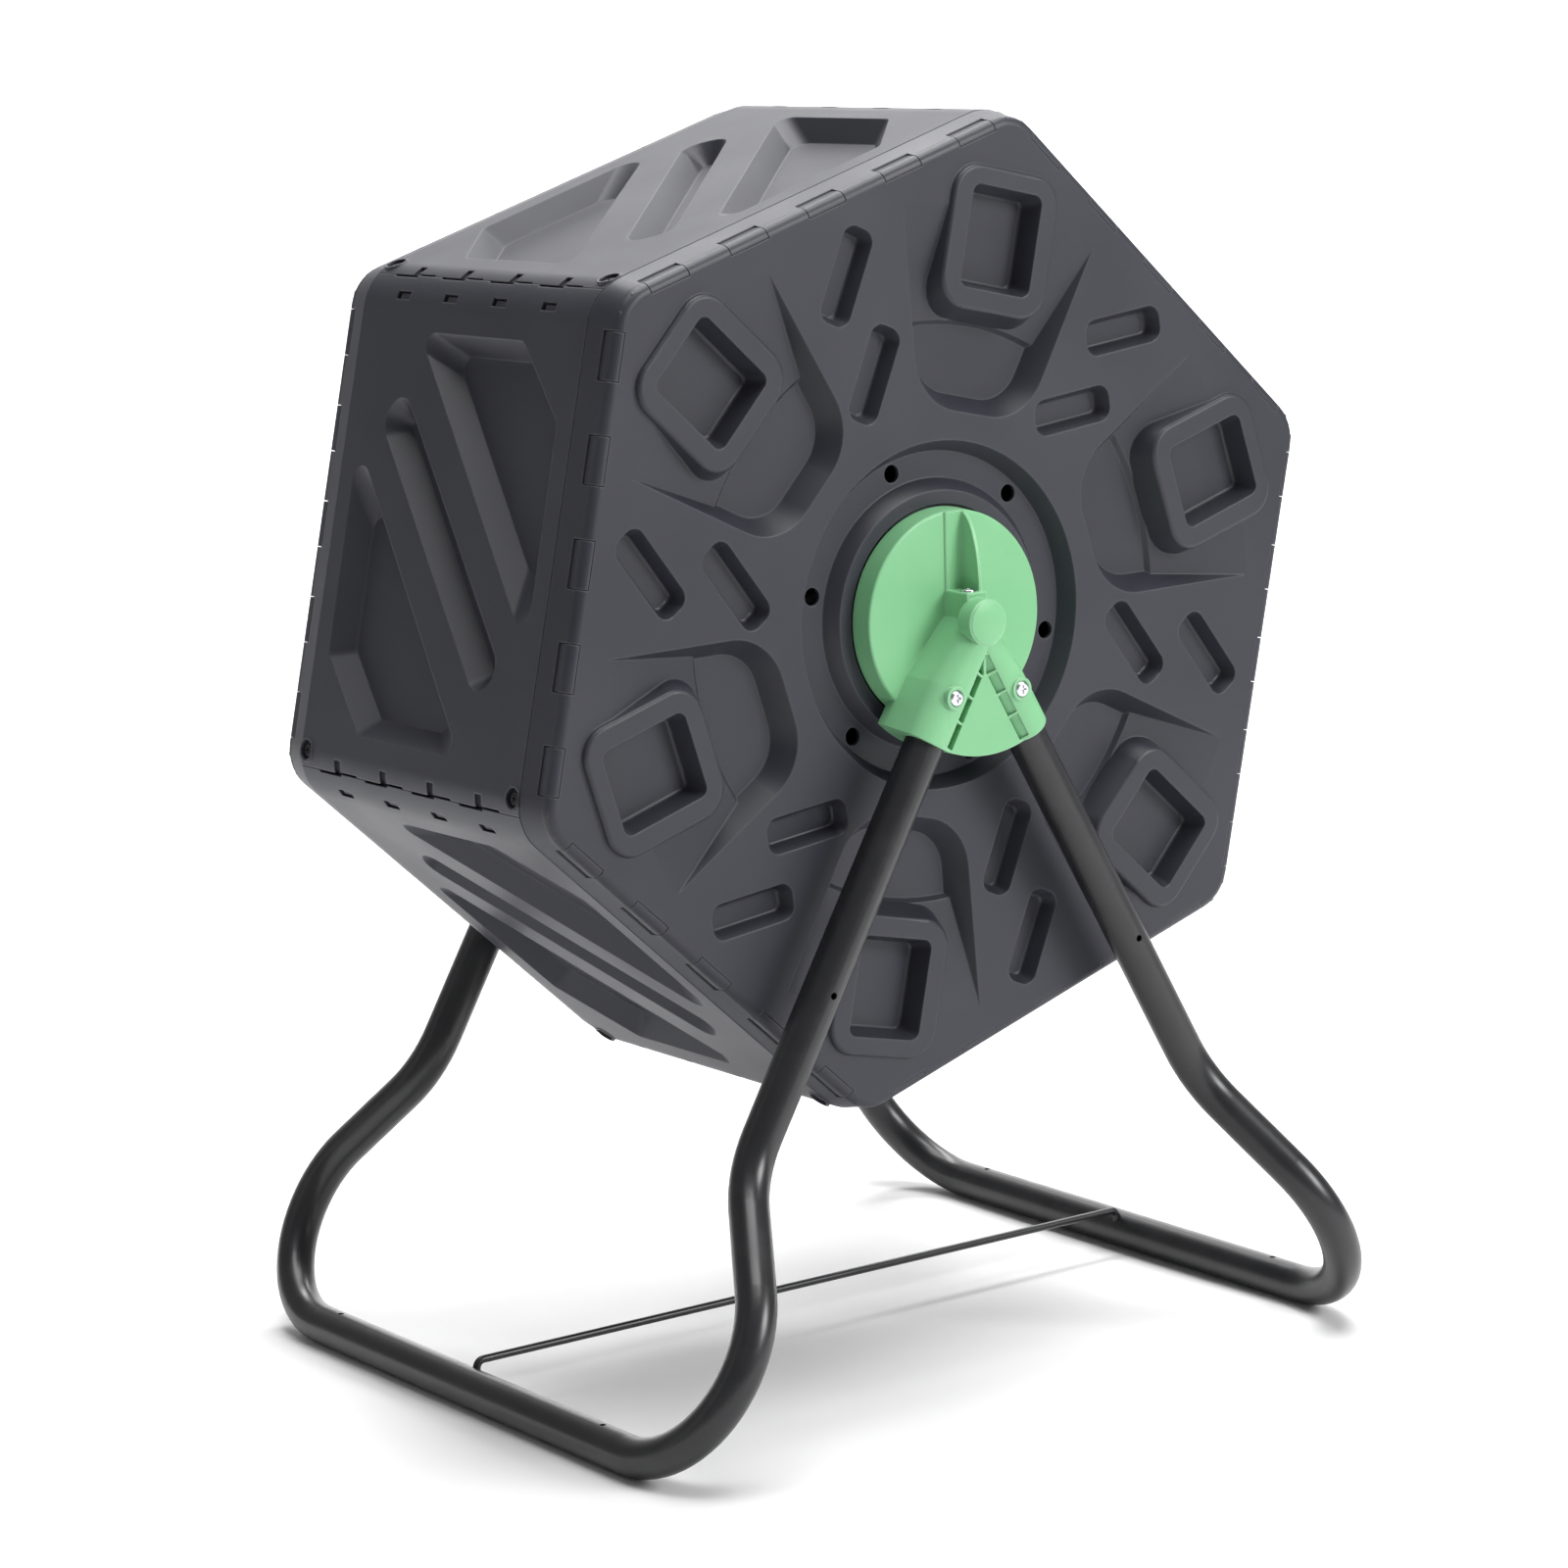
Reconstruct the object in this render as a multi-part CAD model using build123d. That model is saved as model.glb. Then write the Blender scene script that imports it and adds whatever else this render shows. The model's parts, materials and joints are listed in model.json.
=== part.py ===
from build123d import *
import math
import os

# Compost tumbler: a hexagonal plastic drum that turns on a steel axle between two bent-tube stand loops.
# Millimetres. World frame: +Z up, +Y runs from the front end to the rear end along the axle,
# origin on the ground under the middle of the drum.

# --- drum ---
DRUM_LEN = 297.0            # front face to rear face
HUB_Z = 483.4               # axle height above the ground
REST_TURN = 12.1            # the drum rests this far clockwise of vertex-up, seen from the front
CAP_A = 270.0               # apothem of the end caps
CAP_R = 30.0                # corner radius of the end caps
SKIRT_A = 273.5             # apothem at the open edge of the cap skirt
SKIRT_Y = 24.7              # depth of the cap skirt
WALL = 3.0                  # moulded wall
EDGE_R = 6.0                # rounding round the front edge of a cap
PANEL_A = 273.8             # apothem of the side panels
PANEL_R = 34.0
PANEL_Y0 = 25.0             # panel starts here, measured from the cap face
SEAM = -0.94                # panel seams lie this many degrees off each vertex

# --- snap tabs along every edge of a cap ---
TAB_W = 29.3
TAB_PITCH = 60.6
TAB_Y = 11.6
TAB_A = 263.5
FIT = 0.4

# --- hub area of a cap: radius and depth below the face ---
VENT_D = 11.0
VENT_PCD = 93.1
HUB_WELL_R = 68.5
HUB_WELL_Y = 5.0

# --- recessed slots of a cap ---
SLOT_RADII = (158.6, 221.6)
SLOT_TILT = -40.5
SLOT_L, SLOT_W, SLOT_DEEP, SLOT_RUN = 61.0, 23.0, 10.5, 4.5

# --- side panel pressings ---
PRESS_DEEP = 13.0
PRESS_RUN = 11.5
RIB_SLOT_L, RIB_SLOT_W = 216.0, 31.0
SCREW_U = -140.5
SCREW_Y = 31.6              # from either end of the drum
CLIP_YS = (68.5, 121.7, 175.3, 228.5)

# --- sliding door ---
DOOR_U = 96.5
DOOR_Y0, DOOR_Y1 = 140.0, 264.0
DOOR_T = 3.0
HATCH_U = 86.0
HATCH_Y0, HATCH_Y1 = 150.0, 254.0
RAIL_U0, RAIL_U1 = 97.0, 101.0
RAIL_Y0, RAIL_Y1 = 30.0, 268.0

# --- axle ---
AXLE_D = 12.0
AXLE_FIT = 0.08             # radial running clearance in the bushes

# --- stand ---
TUBE_D = 25.0
TUBE_WALL = 1.5
LOOP_X = 270.0              # ground bar axis
LOOP_TILT = 30.1            # each loop leans inward from vertical
BEND_S = 179.5              # where the legs bend, up the slope from the ground bar
CORNER_Y = 320.6
BEND_R, CORNER_R = 71.0, 70.5
LEG_TOP_DROP = 36.0         # the leg tubes end this far below the axle
ROD_D = 5.0
ROD_HOOK_X = 262.5
ROD_HOOK_DEPTH = 14.0

# --- bracket: y is measured from the drum face, negative is outward ---
DISC_R0, DISC_R1 = 67.0, 66.0
DISC_BACK, DISC_FRONT = 3.0, -12.3
TUBE_Y = -29.0
CREST_Y = -43.9
WEB_Y = -40.6
FAN_R = 82.0
FAN_BACK = -6.0
BOSS_R, BOSS_FRONT = 14.5, -44.6
LEG_SCREW_Y = -43.3         # seat of the leg screws

HALF = DRUM_LEN / 2
LEG_Y = HALF - TUBE_Y       # upper legs, from the middle of the drum
RUN_ON = 60                 # every cap motif repeats at this angle


def at_angle(shape, degrees):
    """Turn a shape about the axle; positive is clockwise seen from the front."""
    return Rotation(0, degrees, 0) * shape


def all_round(shape, start=0):
    """Six copies of a shape about the axle."""
    return [at_angle(shape, start + RUN_ON * i) for i in range(6)]


def box(x0, x1, y0, y1, z0, z1):
    """A box between two corners."""
    size = Box(x1 - x0, y1 - y0, z1 - z0)
    return Pos((x0 + x1) / 2, (y0 + y1) / 2, (z0 + z1) / 2) * size


def rod_y(radius, y0, y1, x=0.0, z=0.0):
    """A cylinder whose axis is parallel to Y."""
    return Pos(x, (y0 + y1) / 2, z) * Rotation(90, 0, 0) * Cylinder(radius, y1 - y0)


def face_plane(y):
    """Sketch plane at a given y: sketch x is world x, sketch y is world z, normal is -Y."""
    return Plane(origin=(0, y, 0), x_dir=(1, 0, 0), z_dir=(0, -1, 0))


def hexagon(apothem, corner, y):
    """Vertex-up hexagon with rounded corners, on the plane at y."""
    shape = RegularPolygon(apothem, 6, major_radius=False, rotation=30)
    shape = fillet(shape.vertices(), corner)
    return face_plane(y) * shape


def hex_prism(apothem, corner, y0, y1):
    return extrude(hexagon(apothem, corner, y0), amount=y1 - y0, dir=(0, 1, 0))


def rounded_rect(x0, x1, z0, z1, radius, y):
    """Rounded rectangle on the plane at y."""
    shape = Pos((x0 + x1) / 2, (z0 + z1) / 2) * RectangleRounded(x1 - x0, z1 - z0, radius)
    return face_plane(y) * shape


def turned(profile):
    """Solid of revolution about the axle from (radius, y) points."""
    outline = make_face(Polyline(*[(r, y, 0) for r, y in profile], close=True))
    return revolve(outline, axis=Axis.Y, revolution_arc=360)


# ---------------------------------------------------------------- end cap


def horseshoe(grow, depth):
    """Tapered horseshoe recess below a corner box: a drafted U that points at the hub."""
    def outline(inset, y):
        side = inset / math.cos(math.radians(16.5))
        low = 124.5 + inset
        high = 268.0
        slope = 26.0 / 88.0
        half_low = 50.0 - (150.0 - low) * slope - side
        half_high = 50.0 + (high - 150.0) * slope - side
        corners = [(-half_high, high), (-half_low, low), (half_low, low), (half_high, high)]
        shape = make_face(Polyline(*corners, close=True))
        lower = shape.vertices().sort_by(Axis.Y)[:2]
        return face_plane(y) * fillet(lower, 38.0 - inset)
    top = outline(-grow, 0)
    bottom = outline(0.667 * depth - grow, depth)
    lid = extrude(top, amount=8, dir=(0, -1, 0))
    return loft([top, bottom]) + lid


def fall(step, rim):
    """Ring whose floor falls from the crease near the rim to a flat pad, one step lower."""
    return turned([
        (rim, -6), (rim, 0), (180 + step * 0.3, 12 + step), (177 + step * 0.3, 15 + step),
        (100, 15 + step), (100, -6),
    ])


def corner_recess(grow):
    return horseshoe(grow, 15 + grow) & fall(grow, 250 + 4 * grow)


def corner_box(inset, y_top, y_base):
    """Raised box on a corner, drafted on all sides."""
    base = rounded_rect(-46 + inset, 46 - inset, 179 + inset, 277 - inset, 22 - inset, y_base)
    top = rounded_rect(-41 + inset, 41 - inset, 187 + inset, 274 - inset, 19 - inset, y_top)
    body = loft([base, top])
    if inset == 0:
        body = fillet(body.faces().sort_by(Axis.Y)[0].edges(), 2.6)
    return body


def corner_pocket(grow):
    """Rectangular well in the raised box."""
    top = rounded_rect(-27.5 - grow, 27.5 + grow, 199.5 - grow, 262.5 + grow, 6 + grow, -3.8)
    floor = rounded_rect(-23.4 - grow, 23.4 + grow, 203.3 - grow, 258 + grow, 5 + grow, 12 + grow)
    well = loft([top, floor])
    if grow == 0:
        bottom = well.faces().sort_by(Axis.Y)[-1]
        well = fillet(bottom.edges(), 2.0)
        well += extrude(top, amount=4, dir=(0, -1, 0))
    return well


def face_slot(grow):
    """One drafted slot on the axis of a cap edge, before it is tilted and placed."""
    long, wide = SLOT_L / 2 + grow, SLOT_W / 2 + grow
    run = SLOT_RUN
    deep = SLOT_DEEP + grow
    top = rounded_rect(-wide, wide, -long, long, 8.5 + grow, 0)
    floor = rounded_rect(-wide + run, wide - run, -long + run, long - run, 4.2 + grow, deep)
    body = loft([top, floor])
    if grow == 0:
        bottom = body.faces().sort_by(Axis.Y)[-1]
        body = fillet(bottom.edges(), 1.8)
        body += extrude(top, amount=4, dir=(0, -1, 0))
    return body


def slot_pair(grow):
    """The two slots of one edge; the edge normal points straight up here."""
    tilted = Rotation(0, -SLOT_TILT, 0) * face_slot(grow)
    return [Pos(0, 0, radius) * tilted for radius in SLOT_RADII]


def end_cap():
    """End cap with its outer face at y = 0 and its open side toward +Y, vertex up."""
    skirt = loft([hexagon(CAP_A, CAP_R, 6.5), hexagon(SKIRT_A, CAP_R + 3.5, SKIRT_Y)])
    body = hex_prism(CAP_A, CAP_R, 0, 6.5) + skirt
    rim = body.faces().sort_by(Axis.Y)[0]
    body = fillet(rim.edges(), EDGE_R)

    hub = turned([
        (0, -5), (107.5, -5), (107.5, 0), (100.5, 11.3), (84, 11.3), (77, 2.5),
        (HUB_WELL_R, 2.5), (HUB_WELL_R, HUB_WELL_Y), (0, HUB_WELL_Y),
    ])
    hub_back = turned([
        (0, 0), (111.5, 0), (111.5, 3), (103.5, 14.3), (81, 14.3), (74.5, 8), (0, 8),
    ])

    cavity = hex_prism(CAP_A - WALL, CAP_R - WALL, WALL, SKIRT_Y + 5)
    backs = all_round(corner_recess(WALL))
    for pair in slot_pair(WALL):
        backs += all_round(pair, 30)
    cavity = cavity - backs - hub_back
    cavity = cavity + all_round(corner_box(WALL, -0.7, 15))
    cavity = cavity - all_round(corner_pocket(WALL))

    body = body - all_round(corner_recess(0))
    body = body + all_round(corner_box(0, -3.7, 12.5))
    cuts = all_round(corner_pocket(0))
    for pair in slot_pair(0):
        cuts += all_round(pair, 30)
    body = body - cuts - hub - cavity

    vents = [rod_y(VENT_D / 2, 5, 20, z=VENT_PCD)]
    windows = []
    lugs = []
    for side in (-1, 1):
        lug = box(136.4, 147.2, 2, 41, 256, 268) if side > 0 else box(-147.2, -136.4, 2, 41, 256, 268)
        hole = Pos(side * -SCREW_U, SCREW_Y, 262) * Cylinder(1.95, 20)
        lugs.append(lug - hole)
    for i in range(-2, 3):
        windows.append(box(i * TAB_PITCH - TAB_W / 2, i * TAB_PITCH + TAB_W / 2, -1, TAB_Y, TAB_A, 280))
    keep = hex_prism(SKIRT_A - 0.5, CAP_R, 1, 60)
    for lug in lugs:
        body = body + [piece & keep for piece in all_round(lug, 30)]
    for window in windows:
        body = body - all_round(window, 30)
    body = body - all_round(vents[0], 30)

    bush_bore = rod_y(13.2, -1, 30)
    spigot_holes = [at_angle(rod_y(1.8, 5.9, 30, z=22), 45 + 90 * i) for i in range(4)]
    return body - bush_bore - spigot_holes


# ---------------------------------------------------------------- side panels
# A panel is drawn with its outward normal straight up: x is u, toward the clockwise neighbour.


def ring(a0, r0, a1, r1, y0, y1):
    """Hexagonal ring, edge up, between two apothems."""
    return at_angle(hex_prism(a1, r1, y0, y1) - hex_prism(a0, r0, y0 - 1, y1 + 1), 30)


def wedge(start, stop, y0, y1, reach=400):
    """Sector about the axle between two angles measured clockwise from straight up."""
    points = [(0, 0)]
    steps = 4
    for i in range(steps + 1):
        angle = math.radians(start + (stop - start) * i / steps)
        points.append((reach * math.sin(angle), reach * math.cos(angle)))
    outline = face_plane(y0) * make_face(Polyline(*points, close=True))
    return extrude(outline, amount=y1 - y0, dir=(0, 1, 0))


def top_plane(z):
    """Sketch plane facing the panel normal: sketch x is u, sketch y is the drum's y."""
    return Plane(origin=(0, 0, z), x_dir=(1, 0, 0), z_dir=(0, 0, 1))


def pressing(corners, radii, grow):
    """Drafted pressing sunk from the panel surface; corners are (u, y) points."""
    sharp = make_face(Polyline(*corners, close=True))

    def outline(inset, height):
        shape = offset(sharp, amount=-inset, kind=Kind.INTERSECTION) if inset else sharp
        for corner, radius in zip(corners, radii):
            near = shape.vertices().sort_by_distance(Vector(corner[0], corner[1], 0))[0]
            shape = fillet(near, radius)
        return top_plane(height) * shape

    top = outline(-grow, PANEL_A)
    floor = outline(PRESS_RUN - grow, PANEL_A - PRESS_DEEP - grow)
    body = loft([top, floor])
    if grow == 0:
        body += extrude(top, amount=6, dir=(0, 0, 1))
    return body


def panel_pressings(grow):
    """Two triangular pressings and the diagonal slot between them."""
    corners = [(125, 88), (79, 41.5), (-55.8, 40), (125, 203.6)]
    radii = [8, 8, 10, 8]
    first = pressing(corners, radii, grow)
    second = Pos(0, HALF, 0) * Rotation(0, 0, 180) * Pos(0, -HALF, 0) * first
    half_l, half_w = RIB_SLOT_L / 2, RIB_SLOT_W / 2
    bar = [(-half_l, -half_w), (half_l, -half_w), (half_l, half_w), (-half_l, half_w)]
    slope = math.degrees(math.atan2(147, 158))
    slot = Pos(0, HALF, 0) * Rotation(0, 0, slope) * slot_press(bar, grow)
    return [first, second, slot]


def slot_press(bar, grow):
    """The long slot pressing, centred on the origin and running along u."""
    half_l, half_w = bar[2]

    def outline(inset, radius, height):
        shape = RectangleRounded(2 * (half_l - inset), 2 * (half_w - inset), radius)
        return top_plane(height) * shape

    top = outline(-grow, 14 + grow, PANEL_A)
    floor = outline(PRESS_RUN - grow, 3.8 + grow, PANEL_A - PRESS_DEEP - grow)
    body = loft([top, floor])
    if grow == 0:
        body += extrude(top, amount=6, dir=(0, 0, 1))
    return body


def panel_shell(flat):
    """Outer skin of one panel with lips under both caps, snap tabs, clips and screw seats."""
    y0, y1 = PANEL_Y0, DRUM_LEN - PANEL_Y0
    sector = wedge(-30 - SEAM, 30 - SEAM - 0.06, y0, y1)
    solid = hex_prism(PANEL_A, PANEL_R, y0, y1)
    skin = at_angle(solid, 30) & sector
    cavity = at_angle(hex_prism(PANEL_A - WALL, PANEL_R - WALL, y0 - 1, y1 + 1), 30)
    if not flat:
        cavity = cavity - panel_pressings(WALL)
        skin = skin - panel_pressings(0)
    skin = skin - cavity

    ends = []
    lip_u = 133.5
    tab_half = TAB_W / 2 - FIT
    for front in (True, False):
        pieces = [box(-lip_u, lip_u, 3.5, 28.3, 263.7, 266.7)]
        pieces.append(box(-lip_u, lip_u, 25.3, 28.3, 263.7, 271.5))
        for i in range(-2, 3):
            tab = box(i * TAB_PITCH - tab_half, i * TAB_PITCH + tab_half, 0.1, TAB_Y - FIT, 263.8, CAP_A - 0.1)
            brow = tab.edges().filter_by(Axis.X).group_by(Axis.Y)[0].sort_by(Axis.Z)[-1]
            pieces.append(fillet(brow, EDGE_R - 0.4))
        for piece in pieces:
            if not front:
                piece = Pos(0, HALF, 0) * Rotation(0, 0, 180) * Pos(0, -HALF, 0) * piece
            ends.append(piece)
    skin = skin + ends

    # screw seats near the leading edge
    for y in (SCREW_Y, DRUM_LEN - SCREW_Y):
        seat = Pos(SCREW_U, y, 270.5) * Cylinder(7.6, 4.4)
        skin = skin + (seat & sector)
        rim = Pos(SCREW_U, y, 272.3) * (Cylinder(7.6, 4) - Cylinder(6.0, 6))
        skin = skin + (rim & sector)
        skin = skin - Pos(SCREW_U, y, 275.3) * Cylinder(6.25, 10)
        skin = skin - Pos(SCREW_U, y, 270) * Cylinder(2.1, 12)

    # clip tongues that run under the neighbour, and the notches and windows they show through
    for y in CLIP_YS:
        tongue = ring(267.4, 27.6, 270.4, 30.6, y - 6, y + 6) & wedge(-32.7, -26.6, y - 6, y + 6)
        root = ring(268, 28.2, 271.6, 31.8, y - 6, y + 6) & wedge(-28.6, -26.6, y - 6, y + 6)
        hook = ring(269, 29.2, 272.4, 32.6, y - 5, y + 5) & wedge(-32.05, -31.4, y - 5, y + 5)
        notch = ring(271.7, 32, 277, 37, y - 3.5, y + 3.5) & wedge(-30, -27.6, y - 3.5, y + 3.5)
        window = ring(266, 26, 277, 37, y - 7.5, y + 7.5) & wedge(27.8, 28.75, y - 7.5, y + 7.5)
        slit_front = ring(266, 26, 277, 37, y - 22, y + 3.5) & wedge(-30, -28.84, y - 22, y + 3.5)
        slit_rear = ring(266, 26, 277, 37, y - 3.5, y + 22) & wedge(30.62, 32, y - 3.5, y + 22)
        skin = skin - notch - window - slit_front - slit_rear
        skin = skin + (tongue + root + hook)
    return skin


def side_panel():
    return panel_shell(False)


def door_panel():
    """The panel that carries the hatch and the door rails."""
    skin = panel_shell(True)
    hatch = Pos(0, (HATCH_Y0 + HATCH_Y1) / 2, PANEL_A) * Box(2 * HATCH_U, HATCH_Y1 - HATCH_Y0, 30)
    hatch = fillet(hatch.edges().filter_by(Axis.Z), 10)
    skin = skin - hatch
    for side in (-1, 1):
        u0, u1 = sorted((side * RAIL_U0, side * RAIL_U1))
        lip0, lip1 = sorted((side * (RAIL_U0 - 5), side * RAIL_U1))
        rail = box(u0, u1, RAIL_Y0, RAIL_Y1, 273, 280.5)
        rail = rail + box(lip0, lip1, RAIL_Y0, RAIL_Y1, 277.6, 280.5)
        for y0, y1 in ((RAIL_Y0, RAIL_Y0 + 2.5), (RAIL_Y1 - 2.5, RAIL_Y1)):
            rail = rail + box(lip0, lip1, y0, y1, 273, 280.5)
        skin = skin + rail
    return skin


def sliding_door():
    """Door plate with stiffening ribs and a finger grip, closed position."""
    low = PANEL_A + FIT
    plate = box(-DOOR_U, DOOR_U, DOOR_Y0, DOOR_Y1, low, low + DOOR_T)
    plate = fillet(plate.edges().filter_by(Axis.Z), 6)
    grip = box(-62, 62, DOOR_Y0 + 8, DOOR_Y0 + 17, low + 1, low + 10)
    grip = fillet(grip.edges().filter_by(Axis.Z), 4.2)
    grip = fillet(grip.faces().sort_by(Axis.Z)[-1].edges(), 2.0)
    parts = [grip]
    for i in range(5):
        y = DOOR_Y0 + 38 + 18 * i
        rib = box(-78, 78, y, y + 5, low + 1, low + DOOR_T + 1.8)
        rib = fillet(rib.edges().filter_by(Axis.Z), 2.4)
        parts.append(fillet(rib.faces().sort_by(Axis.Z)[-1].edges(), 1.0))
    return plate + parts


# ---------------------------------------------------------------- axle, bushes, brackets


def hub_flange():
    """Bearing bush that screws to the back of a cap and runs on the axle."""
    bore = AXLE_D / 2 + AXLE_FIT
    body = turned([
        (bore, 5.3), (13.0, 5.3), (13.0, 8.2), (30, 8.2), (30, 11.2), (15, 11.2), (12, 30), (bore, 30),
    ])
    for i in range(4):
        fin = box(-1.5, 1.5, 9, 24, 10, 14.5)
        fin = fin + box(-1.5, 1.5, 9, 15, 14, 24)
        body = body + at_angle(fin, 90 * i)
        body = body - at_angle(rod_y(1.9, 0, 30, z=22), 45 + 90 * i)
    return body


def screw(head_d, head_h, shank_d, shank_l):
    """Cross-recessed pan-head screw along +Z: the head is above z = 0, the shank below."""
    head = Pos(0, 0, head_h / 2) * Cylinder(head_d / 2, head_h)
    head = fillet(head.faces().sort_by(Axis.Z)[-1].edges(), head_h * 0.55)
    shank = Pos(0, 0, -shank_l / 2) * Cylinder(shank_d / 2, shank_l + 0.2)
    arm = head_d * 0.52
    cross = Box(arm, head_d * 0.13, 1.6) + Box(head_d * 0.13, arm, 1.6)
    cross = cross + Cone(0.01, head_d * 0.16, 1.6)
    return head + shank - Pos(0, 0, head_h - 0.5) * cross


LEG_DIR = (math.sin(math.radians(LOOP_TILT)), -math.cos(math.radians(LOOP_TILT)))
LEG_AT_HUB = LOOP_X - (HUB_Z - TUBE_D / 2) * math.tan(math.radians(LOOP_TILT))


def leg_frame(t):
    """Plane across the right-hand leg of the bracket, t below hub height along the leg axis.

    Sketch x is p, across the leg and outward; sketch y is world y.
    """
    x = LEG_AT_HUB + LEG_DIR[0] * t
    z = LEG_DIR[1] * t
    across = (-LEG_DIR[1], 0, LEG_DIR[0])
    along = (LEG_DIR[0], 0, LEG_DIR[1])
    return Plane(origin=(x, 0, z), x_dir=across, z_dir=along)


def leg_section(t, p_mid, p_base):
    """Cross-section of a leg socket: round over the tube, flared toward the disc."""
    frame = leg_frame(t)
    y_sign = 1 if frame.y_dir.Y > 0 else -1

    def point(p, y):
        return (p, y * y_sign)
    inner = point(-11.3, -39.6)
    crown = point(0.2 * (p_mid - 17), CREST_Y)
    mid = point(p_mid, TUBE_Y)
    base = point(p_base, DISC_FRONT)
    back = point(p_base + 0.4, FAN_BACK)
    foot = point(-11.3, FAN_BACK)
    edges = [ThreePointArc(inner, crown, mid), Line(mid, base), Line(base, back)]
    edges += [Line(back, foot), Line(foot, inner)]
    return frame * make_face(edges)


def leg_box(p0, p1, t0, t1, y0, y1):
    """Box along the right-hand leg axis."""
    block = Box(p1 - p0, y1 - y0, t1 - t0)
    frame = leg_frame((t0 + t1) / 2)
    centre = frame.origin + frame.x_dir * ((p0 + p1) / 2) + Vector(0, (y0 + y1) / 2, 0)
    return Plane(origin=centre, x_dir=frame.x_dir, z_dir=frame.z_dir) * block


def leg_rod(radius, t0, t1, y=TUBE_Y):
    frame = leg_frame((t0 + t1) / 2)
    centre = frame.origin + Vector(0, y, 0)
    return Plane(origin=centre, x_dir=frame.x_dir, z_dir=frame.z_dir) * Cylinder(radius, t1 - t0)


def leg_socket():
    lower = loft([leg_section(48, 16.6, 20), leg_section(100, 16.8, 21.5)], ruled=True)
    upper = loft([leg_section(4, 10, 10.5), leg_section(48, 16.6, 20)], ruled=True)
    return lower + upper


def bracket():
    """Front hub bracket: disc, axle boss, two leg sockets and the web between them."""
    disc = turned([(0, DISC_BACK), (DISC_R0, DISC_BACK), (DISC_R1, DISC_FRONT), (0, DISC_FRONT)])
    disc = fillet(disc.faces().sort_by(Axis.Y)[0].edges(), 1.6)

    leg = leg_socket()
    bottom = FAN_R + 3
    reach = bottom * math.tan(math.radians(LOOP_TILT))
    wedge_points = [(0, -4), (reach, -bottom), (-reach, -bottom)]
    web = face_plane(FAN_BACK) * make_face(Polyline(*wedge_points, close=True))
    web = extrude(web, amount=FAN_BACK - WEB_Y, dir=(0, -1, 0))
    right = box(0, 110, -60, 10, -130, 40)
    half = (leg & right) + (web & right)
    half = half & rod_y(FAN_R, -60, 0)

    # slots beside the web, bridged by ribs
    spans = [(7, 17.5), (19, 30.5), (32.0, 45.5), (47.0, 62.5), (64.0, 80.5)]
    for t0, t1 in spans:
        half = half - (leg_box(-12.4, -6.2, t0, t1, -60, -33) - leg_rod(13.7, 0, 110))
    fan = half + mirror(half, Plane.YZ)
    fan = fan + box(-1.0, 1.0, WEB_Y, -31, -34, -12)

    boss = rod_y(BOSS_R, BOSS_FRONT, -33)
    boss = fillet(boss.faces().sort_by(Axis.Y)[0].edges(), 1.2)
    dome = Pos(0, BOSS_FRONT + 52, 0) * Sphere(54)
    dome = dome & rod_y(BOSS_R - 1.5, BOSS_FRONT - 4, BOSS_FRONT + 1)
    block = box(-7.6, 7.6, -34, -10, -16, 17.5)
    block = fillet(block.edges().group_by(Axis.Z)[-1], 0.8)
    block = block - Pos(0, -25.4, 17.5) * Cylinder(5.4, 2.4)

    # guide fin from the top of the disc down to the boss, with a shallow pad beside it
    arc = EllipticalCenterArc((0, 0), 50, 17.5, start_angle=0, arc_size=90)
    blade = make_face([arc, Line((0, 17.5), (0, 0)), Line((0, 0), (50, 0))])
    blade_plane = Plane(origin=(5.2, DISC_FRONT, 15), x_dir=(0, 0, 1), z_dir=(1, 0, 0))
    blade_y = 1 if blade_plane.y_dir.Y < 0 else -1
    blade = blade if blade_y > 0 else mirror(blade, Plane.XZ)
    blade = extrude(blade_plane * blade, amount=2.4, dir=(1, 0, 0))
    pad = box(-7.6, 6, DISC_FRONT - 1.6, -10, 12, 70)
    pad = fillet(pad.edges().filter_by(Axis.Z).sort_by(Axis.Y)[:2], 1.5)
    pad = pad & rod_y(DISC_R1 - 0.4, -30, 0)

    body = disc + fan + boss + dome + block + blade + pad
    body = body - rod_y(AXLE_D / 2 + 0.03, -36, 10)
    tube = leg_rod(TUBE_D / 2 + 0.05, LEG_TOP_DROP / math.cos(math.radians(LOOP_TILT)) - 0.5, 120)
    body = body - tube - mirror(tube, Plane.YZ)

    for side in (-1, 1):
        x, z = leg_screw_xz(side)
        body = body + rod_y(7.2, LEG_SCREW_Y - 1.6, -38, x, z)
        body = body - rod_y(5.1, -50, LEG_SCREW_Y, x, z) - rod_y(2.05, -50, -30, x, z)
    body = body - Pos(0, -25.4, 16) * Cylinder(2.05, 48)
    body = body - tube - mirror(tube, Plane.YZ) - rod_y(AXLE_D / 2 + 0.03, -36, 10)
    return body.solids().sort_by(SortBy.VOLUME)[-1]


def leg_screw_xz(side):
    """Where a leg screw sits on the bracket, beside the hub axis."""
    t = 52.0
    p = 2.9
    x = LEG_AT_HUB + LEG_DIR[0] * t + p * math.cos(math.radians(LOOP_TILT))
    z = LEG_DIR[1] * t + p * LEG_DIR[0]
    return side * x, z


# ---------------------------------------------------------------- stand


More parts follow.
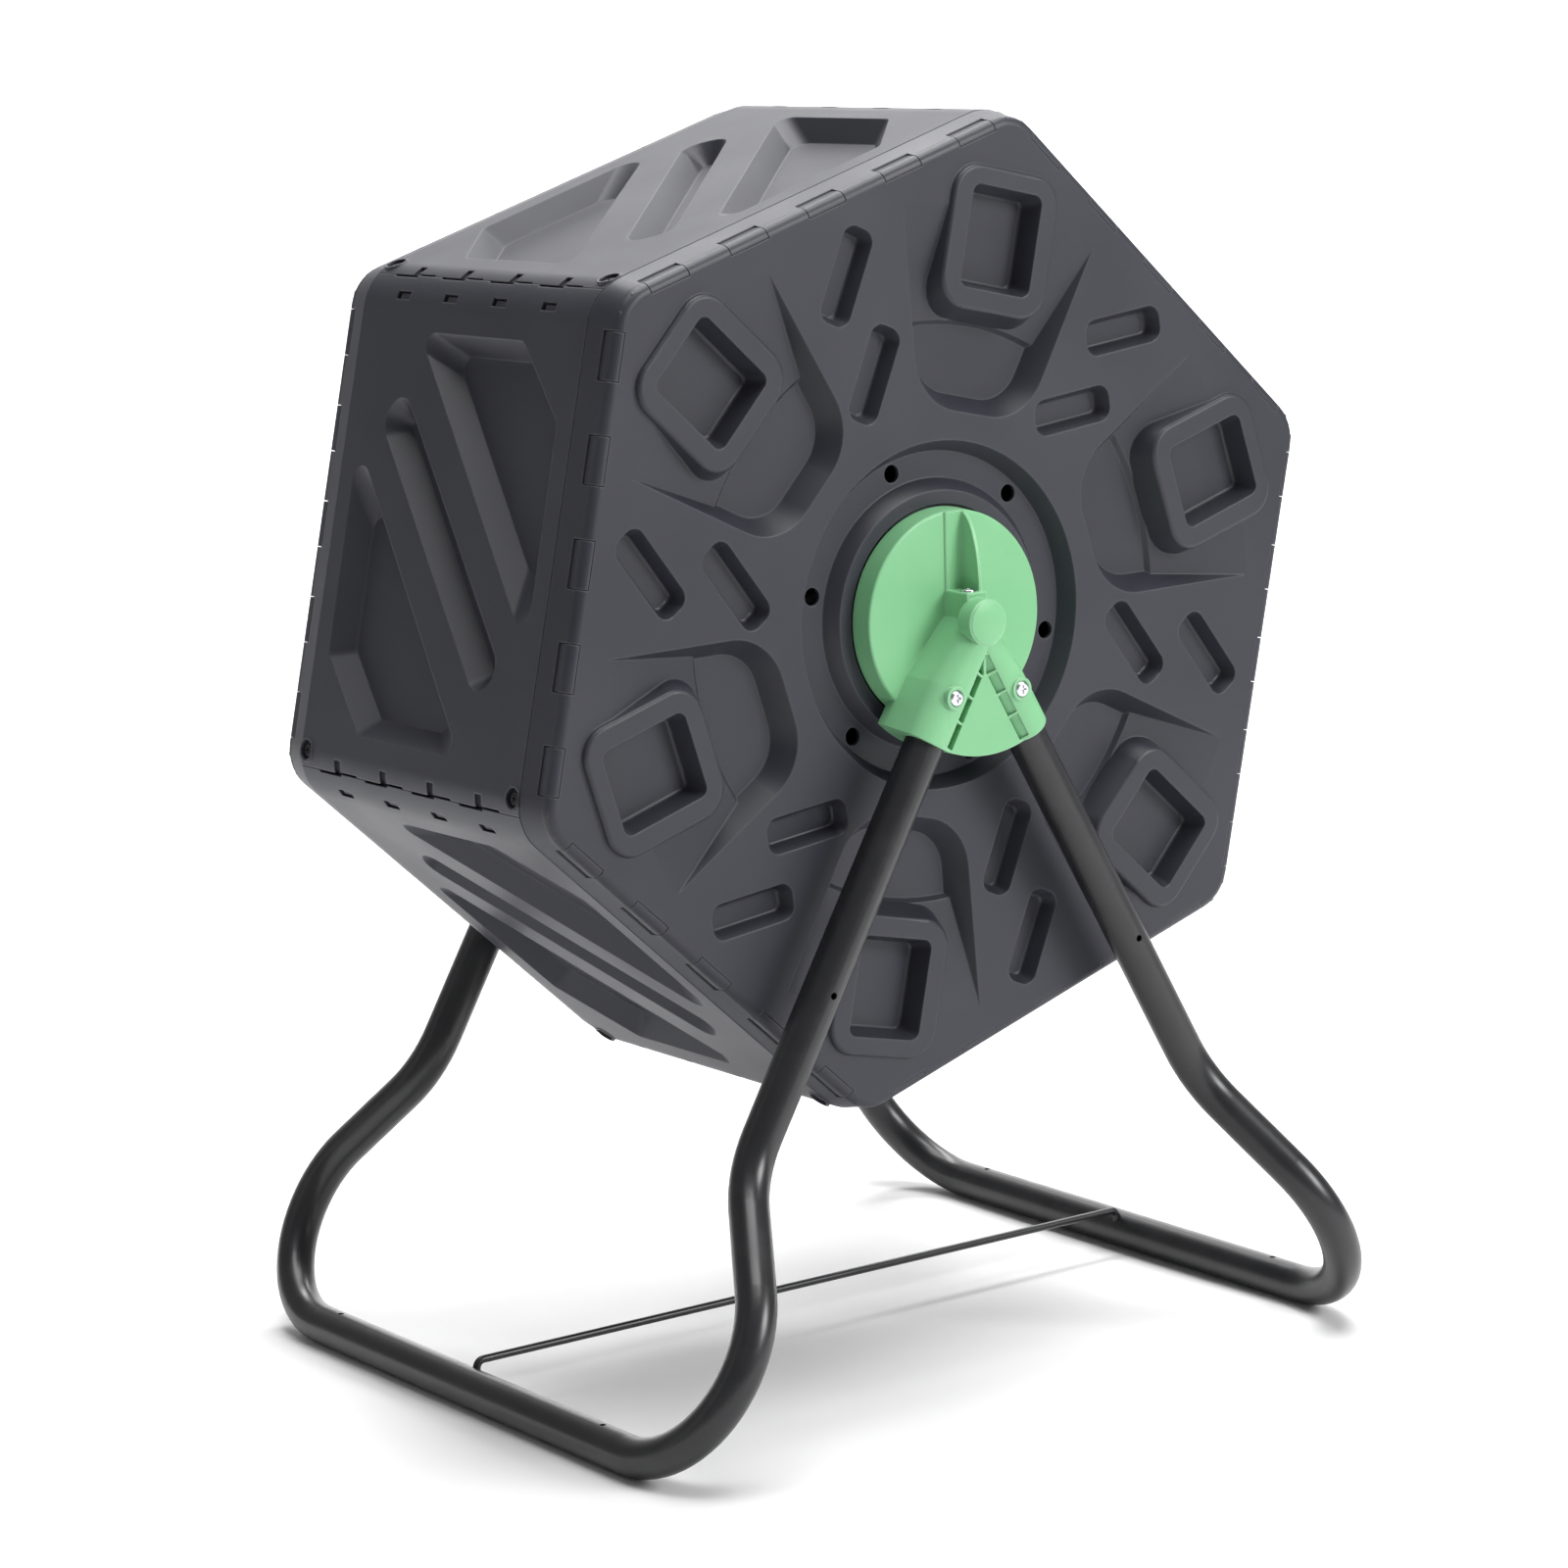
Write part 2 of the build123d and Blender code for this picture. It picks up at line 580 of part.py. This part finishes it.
def stand_loop():
    """Right-hand stand loop in world coordinates, with its screw and rod holes."""
    tilt = math.radians(LOOP_TILT)
    top = (HUB_Z - LEG_TOP_DROP - TUBE_D / 2) / math.cos(tilt)
    plane = Plane(
        origin=(LOOP_X, 0, TUBE_D / 2),
        x_dir=(0, 1, 0),
        z_dir=(math.cos(tilt), 0, math.sin(tilt)),
    )
    up = 1 if plane.y_dir.Z > 0 else -1
    points = [
        (-LEG_Y, up * top), (-LEG_Y, up * BEND_S), (-CORNER_Y, 0),
        (CORNER_Y, 0), (LEG_Y, up * BEND_S), (LEG_Y, up * top),
    ]
    path = plane * FilletPolyline(*points, radius=[BEND_R, CORNER_R, CORNER_R, BEND_R])
    start = path @ 0
    across = Plane(origin=start, z_dir=path % 0)
    section = across * (Circle(TUBE_D / 2) - Circle(TUBE_D / 2 - TUBE_WALL))
    tube = sweep(section, path=path)

    holes = [Pos(ROD_HOOK_X, 0, 20) * Cylinder(ROD_D / 2 + 0.15, 22)]
    holes.append(Pos(LOOP_X, -150, 22) * Cylinder(2.0, 10))
    holes.append(Pos(LOOP_X, 150, 22) * Cylinder(2.0, 10))
    x, z = leg_screw_xz(1)
    for side in (-1, 1):
        y = side * (HALF - TUBE_Y)
        y0, y1 = sorted((y, y + side * 20))
        holes.append(rod_y(2.2, y0, y1, x, HUB_Z + z))
        leg_x = LEG_AT_HUB + (HUB_Z - 270) * math.tan(tilt)
        holes.append(rod_y(2.2, y0, y1, leg_x, 270))
    return tube - holes


def spreader_rod():
    """Rod across the ground bars, with both ends hooked down into the tubes."""
    z = TUBE_D + ROD_D / 2
    points = [
        (-ROD_HOOK_X, 0, z - ROD_HOOK_DEPTH), (-ROD_HOOK_X, 0, z),
        (ROD_HOOK_X, 0, z), (ROD_HOOK_X, 0, z - ROD_HOOK_DEPTH),
    ]
    path = FilletPolyline(*points, radius=5.0)
    across = Plane(origin=path @ 0, z_dir=path % 0)
    return sweep(across * Circle(ROD_D / 2), path=path)


# ---------------------------------------------------------------- assembly


def in_drum(shape):
    """From drum coordinates, vertex up with the face at y = 0, to the world."""
    return Pos(0, -HALF, HUB_Z) * at_angle(shape, REST_TURN)


def at_front(shape):
    """From bracket coordinates to the front end of the drum."""
    return Pos(0, -HALF, HUB_Z) * shape


def at_rear(shape):
    """The same piece turned half a turn about the vertical, at the rear end."""
    return Pos(0, HALF, HUB_Z) * Rotation(0, 0, 180) * shape


def to_rear(shape):
    """Half a turn about the vertical through the middle of the drum, in drum coordinates."""
    return Pos(0, HALF, 0) * Rotation(0, 0, 180) * Pos(0, -HALF, 0) * shape


def save(name, shape):
    if isinstance(shape, list):
        shape = Compound(children=shape)
    export_step(shape, f"parts/{name}.step")


os.makedirs("parts", exist_ok=True)

cap = end_cap()
save("front_end_cap", in_drum(cap))
save("rear_end_cap", in_drum(to_rear(cap)))

# panels by the clockwise angle of their normal from straight up, before the rest turn
panel = side_panel()
panel_angles = {
    "side_panel_upper_right": 30,
    "side_panel_lower_right": 150,
    "side_panel_lower_left": 210,
    "side_panel_left": 270,
    "side_panel_upper_left": 330,
}
for name, angle in panel_angles.items():
    save(name, in_drum(at_angle(panel, angle)))
save("door_panel", in_drum(at_angle(door_panel(), 90)))
save("sliding_door", in_drum(at_angle(sliding_door(), 90)))

panel_screw = screw(9.0, 2.6, 3.8, 11)
panel_screws = []
for i in range(6):
    for y in (SCREW_Y, DRUM_LEN - SCREW_Y):
        placed = Pos(SCREW_U, y, 270.3) * panel_screw
        panel_screws.append(in_drum(at_angle(placed, 30 + 60 * i)))
save("panel_screws", panel_screws)

flange = hub_flange()
save("front_hub_flange", in_drum(flange))
save("rear_hub_flange", in_drum(to_rear(flange)))
flange_screw = screw(6.5, 2.0, 3.4, 5)
flange_screws = []
for i in range(4):
    placed = Pos(0, 11.2, 22) * Rotation(-90, 0, 0) * flange_screw
    placed = at_angle(placed, 45 + 90 * i)
    flange_screws.append(in_drum(placed))
    flange_screws.append(in_drum(to_rear(placed)))
save("hub_flange_screws", flange_screws)

axle_half = HALF + 35.5
axle = rod_y(AXLE_D / 2, -axle_half, axle_half, 0, HUB_Z)
for side in (-1, 1):
    axle = axle - Pos(0, side * (HALF + 25.4), HUB_Z) * Cylinder(2.0, 30)
axle = chamfer(axle.faces().filter_by(Axis.Y).edges().filter_by(GeomType.CIRCLE), 0.8)
save("axle", axle)

hub_bracket = bracket()
save("front_bracket", at_front(hub_bracket))
save("rear_bracket", at_rear(hub_bracket))

leg_screw = screw(9.6, 2.6, 3.9, 13)
leg_screws = []
for side in (-1, 1):
    x, z = leg_screw_xz(side)
    placed = Pos(x, LEG_SCREW_Y, z) * Rotation(90, 0, 0) * leg_screw
    leg_screws.append(at_front(placed))
    leg_screws.append(at_rear(placed))
save("bracket_leg_screws", leg_screws)

axle_screw = screw(9.6, 2.6, 3.9, 24)
placed = Pos(0, -25.4, 16.3) * axle_screw
save("axle_screws", [at_front(placed), at_rear(placed)])

loop = stand_loop()
save("right_stand_loop", loop)
save("left_stand_loop", mirror(loop, Plane.YZ))
save("spreader_rod", spreader_rod())
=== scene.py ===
import json
import math

import bpy
from mathutils import Matrix, Vector

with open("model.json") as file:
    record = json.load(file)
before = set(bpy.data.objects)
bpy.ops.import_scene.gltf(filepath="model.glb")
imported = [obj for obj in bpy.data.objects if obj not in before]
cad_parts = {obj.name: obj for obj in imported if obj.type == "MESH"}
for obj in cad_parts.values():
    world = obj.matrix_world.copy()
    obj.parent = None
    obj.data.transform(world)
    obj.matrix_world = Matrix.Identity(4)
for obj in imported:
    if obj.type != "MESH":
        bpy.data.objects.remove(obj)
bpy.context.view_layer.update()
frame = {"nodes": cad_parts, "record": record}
nodes = frame["nodes"]


# ---------------------------------------------------------------- materials


class Mat:
    """Small helper that builds one node material step by step."""

    def __init__(self, name):
        self.mat = bpy.data.materials.new(name)
        self.mat.use_nodes = True
        self.tree = self.mat.node_tree
        self.bsdf = self.tree.nodes["Principled BSDF"]
        coords = self.tree.nodes.new("ShaderNodeTexCoord")
        self.coords = coords.outputs["Object"]

    def set(self, **values):
        for key, value in values.items():
            self.bsdf.inputs[key.replace("_", " ")].default_value = value

    def node(self, kind, **props):
        made = self.tree.nodes.new(kind)
        for key, value in props.items():
            setattr(made, key, value)
        return made

    def link(self, a, b):
        self.tree.links.new(a, b)

    def noise(self, scale, detail=4.0, rough=0.55, stretch=None):
        tex = self.node("ShaderNodeTexNoise")
        tex.inputs["Scale"].default_value = scale
        tex.inputs["Detail"].default_value = detail
        tex.inputs["Roughness"].default_value = rough
        if stretch:
            mapping = self.node("ShaderNodeMapping")
            mapping.inputs["Scale"].default_value = stretch
            self.link(self.coords, mapping.inputs["Vector"])
            self.link(mapping.outputs["Vector"], tex.inputs["Vector"])
        else:
            self.link(self.coords, tex.inputs["Vector"])
        return tex.outputs["Fac"]

    def ramp(self, fac, stops):
        made = self.node("ShaderNodeValToRGB")
        ramp = made.color_ramp
        while len(ramp.elements) < len(stops):
            ramp.elements.new(0.5)
        for element, (place, colour) in zip(ramp.elements, stops):
            element.position = place
            element.color = colour
        self.link(fac, made.inputs["Fac"])
        return made.outputs["Color"]

    def span(self, fac, low, high, from_low=0.3, from_high=0.7):
        made = self.node("ShaderNodeMapRange")
        made.inputs["From Min"].default_value = from_low
        made.inputs["From Max"].default_value = from_high
        made.inputs["To Min"].default_value = low
        made.inputs["To Max"].default_value = high
        self.link(fac, made.inputs["Value"])
        return made.outputs["Result"]

    def mix(self, fac, a, b):
        made = self.node("ShaderNodeMix", data_type="RGBA")
        self.link(fac, made.inputs["Factor"])
        for value, socket in ((a, made.inputs[6]), (b, made.inputs[7])):
            if isinstance(value, tuple):
                socket.default_value = value
            else:
                self.link(value, socket)
        return made.outputs[2]

    def math(self, operation, a, b):
        made = self.node("ShaderNodeMath", operation=operation)
        for value, socket in ((a, made.inputs[0]), (b, made.inputs[1])):
            if isinstance(value, (int, float)):
                socket.default_value = value
            else:
                self.link(value, socket)
        return made.outputs[0]

    def edge(self, radius, flat=0.985, sharp=0.86):
        """Near 1 on edges and 0 on flats: the bevelled normal against the true normal."""
        bevel = self.node("ShaderNodeBevel", samples=4)
        bevel.inputs["Radius"].default_value = radius
        geometry = self.node("ShaderNodeNewGeometry")
        dot = self.node("ShaderNodeVectorMath", operation="DOT_PRODUCT")
        self.link(bevel.outputs["Normal"], dot.inputs[0])
        self.link(geometry.outputs["Normal"], dot.inputs[1])
        return self.span(dot.outputs["Value"], 1.0, 0.0, sharp, flat)

    def bump(self, height, distance, strength=1.0, bevel=0.0, under=None):
        made = self.node("ShaderNodeBump")
        made.inputs["Distance"].default_value = distance
        made.inputs["Strength"].default_value = strength
        self.link(height, made.inputs["Height"])
        if bevel:
            rounding = self.node("ShaderNodeBevel", samples=6)
            rounding.inputs["Radius"].default_value = bevel
            self.link(rounding.outputs["Normal"], made.inputs["Normal"])
        if under is not None:
            self.link(under, made.inputs["Normal"])
        return made.outputs["Normal"]

    def colour(self, socket):
        self.link(socket, self.bsdf.inputs["Base Color"])

    def rough(self, socket):
        self.link(socket, self.bsdf.inputs["Roughness"])

    def normal(self, socket):
        self.link(socket, self.bsdf.inputs["Normal"])


def drum_plastic():
    """Matt charcoal moulded polypropylene: fine grain, faint flow marks, edges made paler by a
    painted highlight.
    """
    m = Mat("drum_plastic_look")
    flow = m.noise(9.0, 3.0, 0.5)
    fine = m.noise(420.0, 3.0, 0.6)
    dark, light = (0.0235, 0.0242, 0.0340, 1), (0.0290, 0.0298, 0.0405, 1)
    base = m.ramp(flow, [(0.32, dark), (0.68, light)])
    # Painted highlight: the edge mask below lightens the rounded edges towards pale grey,
    # standing in for light catching them.
    edges = m.edge(0.0022)
    base = m.mix(m.math("MULTIPLY", edges, 0.5), base, (0.085, 0.086, 0.098, 1))
    specks = m.span(m.noise(950.0, 2.0, 0.5), 0.0, 0.35, 0.70, 0.80)
    base = m.mix(specks, base, (0.060, 0.061, 0.070, 1))
    m.colour(base)
    m.rough(m.span(flow, 0.40, 0.50))
    grain = m.bump(fine, 0.00007, 0.55, bevel=0.0011)
    m.normal(m.bump(flow, 0.0012, 0.10, under=grain))
    m.set(Specular_IOR_Level=0.45, IOR=1.49)
    return m.mat


def green_plastic(name, deep, pale):
    """Satin green moulded plastic with a soft bloom of colour and paler corners painted as edge
    highlights.
    """
    m = Mat(name)
    flow = m.noise(16.0, 3.0, 0.5)
    fine = m.noise(520.0, 2.0, 0.5)
    base = m.ramp(flow, [(0.30, deep), (0.70, pale)])
    edges = m.edge(0.0016)
    # Painted highlight: a whitened copy of the pale green is laid on the edges and corners,
    # standing in for light catching them.
    red, green, blue = pale[:3]
    edge_highlight_colour = (min(1.0, red * 1.6 + 0.05), min(1.0, green * 1.25), min(1.0, blue * 1.5 + 0.04), 1)
    m.colour(m.mix(m.math("MULTIPLY", edges, 0.55), base, edge_highlight_colour))
    m.rough(m.span(flow, 0.34, 0.44))
    m.normal(m.bump(fine, 0.00005, 0.45, bevel=0.0009))
    m.set(Specular_IOR_Level=0.5, IOR=1.49, Subsurface_Weight=0.06, Subsurface_Scale=0.004)
    m.bsdf.inputs["Subsurface Radius"].default_value = (0.5, 1.0, 0.5)
    return m.mat


def black_enamel(name, rough_low, rough_high, coat):
    """Satin black stove enamel with slight orange peel and a few dull scuffs."""
    m = Mat(name)
    peel = m.noise(260.0, 2.0, 0.5)
    scuffs = m.noise(34.0, 6.0, 0.7)
    dark, light = (0.0120, 0.0122, 0.0140, 1), (0.0180, 0.0183, 0.0205, 1)
    m.colour(m.ramp(scuffs, [(0.45, dark), (0.80, light)]))
    m.rough(m.span(scuffs, rough_low, rough_high, 0.45, 0.85))
    m.normal(m.bump(peel, 0.00006, 0.35, bevel=0.0005))
    m.set(Specular_IOR_Level=0.5, Coat_Weight=coat, Coat_Roughness=0.16)
    return m.mat


def plated_steel(name, dark, light, rough_low, rough_high):
    """Zinc-plated steel with fine turning marks and cloudy plating."""
    m = Mat(name)
    cloud = m.noise(120.0, 4.0, 0.6)
    lines = m.noise(900.0, 2.0, 0.5, stretch=(1.0, 0.05, 1.0))
    m.colour(m.ramp(cloud, [(0.35, dark), (0.70, light)]))
    m.rough(m.span(cloud, rough_low, rough_high))
    m.normal(m.bump(lines, 0.00004, 0.4, bevel=0.0003))
    m.set(Metallic=1.0)
    return m.mat


def black_steel():
    """Black phosphated screws, paler on the raised edges."""
    m = Mat("black_screw_look")
    cloud = m.noise(300.0, 3.0, 0.6)
    base = m.ramp(cloud, [(0.35, (0.016, 0.016, 0.018, 1)), (0.70, (0.030, 0.030, 0.033, 1))])
    m.colour(m.mix(m.math("MULTIPLY", m.edge(0.0006), 0.6), base, (0.12, 0.12, 0.125, 1)))
    m.rough(m.span(cloud, 0.30, 0.46))
    m.normal(m.bump(cloud, 0.00005, 0.4, bevel=0.0004))
    m.set(Metallic=0.6)
    return m.mat


looks = {
    "drum_plastic": drum_plastic(),
    "door_plastic": green_plastic(
        "door_plastic_look", (0.140, 0.41, 0.180, 1), (0.165, 0.455, 0.210, 1)
    ),
    "bracket_plastic": green_plastic(
        "bracket_look", (0.180, 0.465, 0.225, 1), (0.215, 0.505, 0.260, 1)
    ),
    "stand_enamel": black_enamel("stand_enamel_look", 0.32, 0.44, 0.10),
    "rod_enamel": black_enamel("rod_enamel_look", 0.34, 0.46, 0.05),
    "axle_steel": plated_steel(
        "axle_look", (0.42, 0.42, 0.43, 1), (0.58, 0.58, 0.59, 1), 0.28, 0.42
    ),
    "zinc_screws": plated_steel(
        "zinc_screw_look", (0.62, 0.63, 0.66, 1), (0.82, 0.83, 0.86, 1), 0.14, 0.28
    ),
    "black_screws": black_steel(),
}
for part in frame["record"]["subparts"]:
    obj = nodes[part["node"]]
    for slot in obj.material_slots:
        slot.material = looks[part["material_slot"]]


# ---------------------------------------------------------------- floor, light and camera

CAMERA_PLACE = (-1.7114, -2.2990, 0.8731)       # metres
CAMERA_YAW, CAMERA_PITCH, CAMERA_ROLL = 36.44, -10.16, -1.37    # degrees
CAMERA_LENS, CAMERA_SENSOR, CAMERA_REACH = 103.885, 36.0, 50.0

FLOOR_HALF_WIDTH = 14.0
FLOOR_NEAR, FLOOR_FAR = -9.0, 6.0
SWEEP_R = 3.0               # radius of the curve from floor to backdrop
SWEEP_STEPS = 12
BACKDROP_TOP = 12.0


def stage_material():
    m = Mat("studio_paper")
    mottling = m.noise(3.0, 3.0, 0.5)
    m.colour(m.ramp(mottling, [(0.3, (0.86, 0.86, 0.86, 1)), (0.7, (0.90, 0.90, 0.90, 1))]))
    m.rough(m.span(mottling, 0.75, 0.9))
    return m.mat


def sweep():
    """Pale floor that curves up into a backdrop behind the object, seen from the camera."""
    verts = []
    faces = []
    profile = [(FLOOR_NEAR, 0.0), (FLOOR_FAR, 0.0)]
    for i in range(1, SWEEP_STEPS + 1):
        angle = math.radians(90 * i / SWEEP_STEPS)
        along = FLOOR_FAR + SWEEP_R * math.sin(angle)
        profile.append((along, SWEEP_R - SWEEP_R * math.cos(angle)))
    profile.append((FLOOR_FAR + SWEEP_R, BACKDROP_TOP))
    turn = Matrix.Rotation(math.radians(-CAMERA_YAW), 3, "Z")
    for along, height in profile:
        for side in (-FLOOR_HALF_WIDTH, FLOOR_HALF_WIDTH):
            verts.append(turn @ Vector((side, along, height)))
    for i in range(len(profile) - 1):
        faces.append((2 * i, 2 * i + 1, 2 * i + 3, 2 * i + 2))
    mesh = bpy.data.meshes.new("studio_floor")
    mesh.from_pydata([v[:] for v in verts], [], faces)
    for polygon in mesh.polygons:
        polygon.use_smooth = True
    mesh.materials.append(stage_material())
    floor = bpy.data.objects.new("studio_floor", mesh)
    bpy.context.scene.collection.objects.link(floor)


def area_light(name, place, target, width, power, height):
    data = bpy.data.lights.new(name, "AREA")
    data.energy = power
    data.shape = "RECTANGLE"
    data.size = width
    data.size_y = height
    light = bpy.data.objects.new(name, data)
    light.location = place
    direction = Vector(target) - Vector(place)
    light.rotation_euler = direction.to_track_quat("-Z", "Y").to_euler()
    bpy.context.scene.collection.objects.link(light)


sweep()
centre = (0.0, 0.0, 0.45)
area_light("key_front_right", (1.9, -3.6, 2.3), centre, 1.7, 138, 1.7)
area_light("top_soft", (0.2, -0.2, 3.6), centre, 2.4, 126, 2.4)
area_light("backdrop_wash", (3.0, 3.2, 5.2), (3.6, 6.2, 0.2), 5.0, 720, 3.0)
area_light("edge_left", (-3.6, 1.6, 1.6), centre, 0.7, 3, 2.4)

world = bpy.data.worlds.new("studio")
world.use_nodes = True
background = world.node_tree.nodes["Background"]
background.inputs["Color"].default_value = (1.0, 1.0, 1.0, 1)
background.inputs["Strength"].default_value = 0.22
bpy.context.scene.world = world
bpy.context.scene.view_settings.view_transform = "Standard"

yaw, pitch, roll = (math.radians(a) for a in (CAMERA_YAW, CAMERA_PITCH, CAMERA_ROLL))
ahead = Vector(
    (math.sin(yaw) * math.cos(pitch), math.cos(yaw) * math.cos(pitch), math.sin(pitch))
)
level = Vector((math.cos(yaw), -math.sin(yaw), 0.0))
above = level.cross(ahead)
across = level * math.cos(roll) + above * math.sin(roll)
upward = above * math.cos(roll) - level * math.sin(roll)
turn = Matrix((across, upward, -ahead)).transposed()
camera_data = bpy.data.cameras.new("camera")
camera_data.sensor_width = CAMERA_SENSOR
camera_data.lens = CAMERA_LENS
camera_data.clip_end = CAMERA_REACH
camera_data.dof.use_dof = False
camera = bpy.data.objects.new("camera", camera_data)
camera.matrix_world = Matrix.Translation(CAMERA_PLACE) @ turn.to_4x4()
bpy.context.scene.collection.objects.link(camera)
bpy.context.scene.camera = camera
